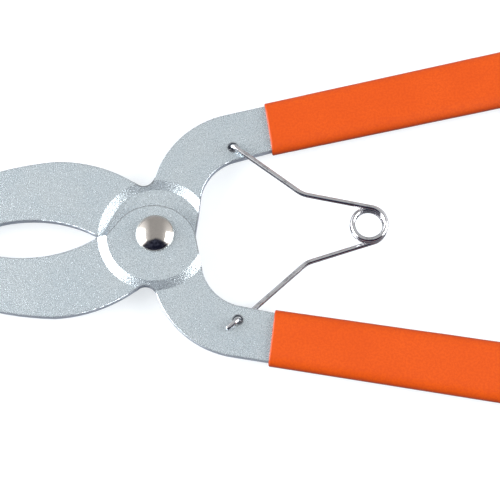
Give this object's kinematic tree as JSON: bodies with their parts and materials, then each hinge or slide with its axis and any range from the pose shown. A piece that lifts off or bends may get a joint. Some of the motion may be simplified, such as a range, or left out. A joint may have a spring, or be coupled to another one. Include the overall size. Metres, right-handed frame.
{
  "type": "spreading pliers",
  "caption": "Plated stamped-steel spreading pliers: joggled, non-crossing levers on a domed rivet, V wire spring, dipped vinyl grips, curved ring rests at the jaw tips.",
  "frame": {"origin": "on the pivot axis, at the flat rear face of the pivot rivet, which the tool lies on", "axes": "+X from the jaws to the handles along the tool, +Y across it to the upper lever, +Z along the pivot axis to the front, domed side"},
  "size_m": [0.216, 0.1206, 0.01],
  "materials": {
    "plated_steel": "bright zinc plating with a fine grit-like sparkle",
    "polished_rivet": "polished nickel",
    "spring_wire": "bright drawn spring wire",
    "grip_vinyl": "semi-gloss dipped vinyl, orange"
  },
  "bodies": {
    "back_lever": {"upper_lever": "plated_steel", "upper_grip": "grip_vinyl", "pivot_rivet": "polished_rivet", "pivot_washer": "plated_steel", "upper_ring_rest": "plated_steel", "upper_rest_rivet_1": "polished_rivet", "upper_rest_rivet_2": "polished_rivet"},
    "front_lever": {"lower_lever": "plated_steel", "lower_grip": "grip_vinyl", "lower_ring_rest": "plated_steel", "lower_rest_rivet_1": "polished_rivet", "lower_rest_rivet_2": "polished_rivet"},
    "spring_upper": {"spring_upper_half": "spring_wire"},
    "spring_lower": {"spring_lower_half": "spring_wire"}
  },
  "joints": [
    {"name": "pivot", "type": "hinge", "parent": "back_lever", "child": "front_lever", "pos_m": [0, 0, 0.00455], "axis": [0, 0, 1], "range_deg": [0, 34], "stiffness_Nm_per_rad": 0.19, "springref_deg": -91.67},
    {"name": "upper_hook", "type": "hinge", "parent": "back_lever", "child": "spring_upper", "pos_m": [0.0242, 0.0273, 0.00455], "axis": [0, 0, 1], "range_deg": [0, 30]},
    {"name": "coil_wind", "type": "hinge", "parent": "spring_upper", "child": "spring_lower", "pos_m": [0.0647, 0.001, 0.00455], "axis": [0, 0, 1], "range_deg": [-30, 0]}
  ],
  "couplings": [
    {"joint": "upper_hook", "follows": "pivot", "ratio": 0.8364},
    {"joint": "coil_wind", "follows": "pivot", "ratio": -0.6422}
  ]
}
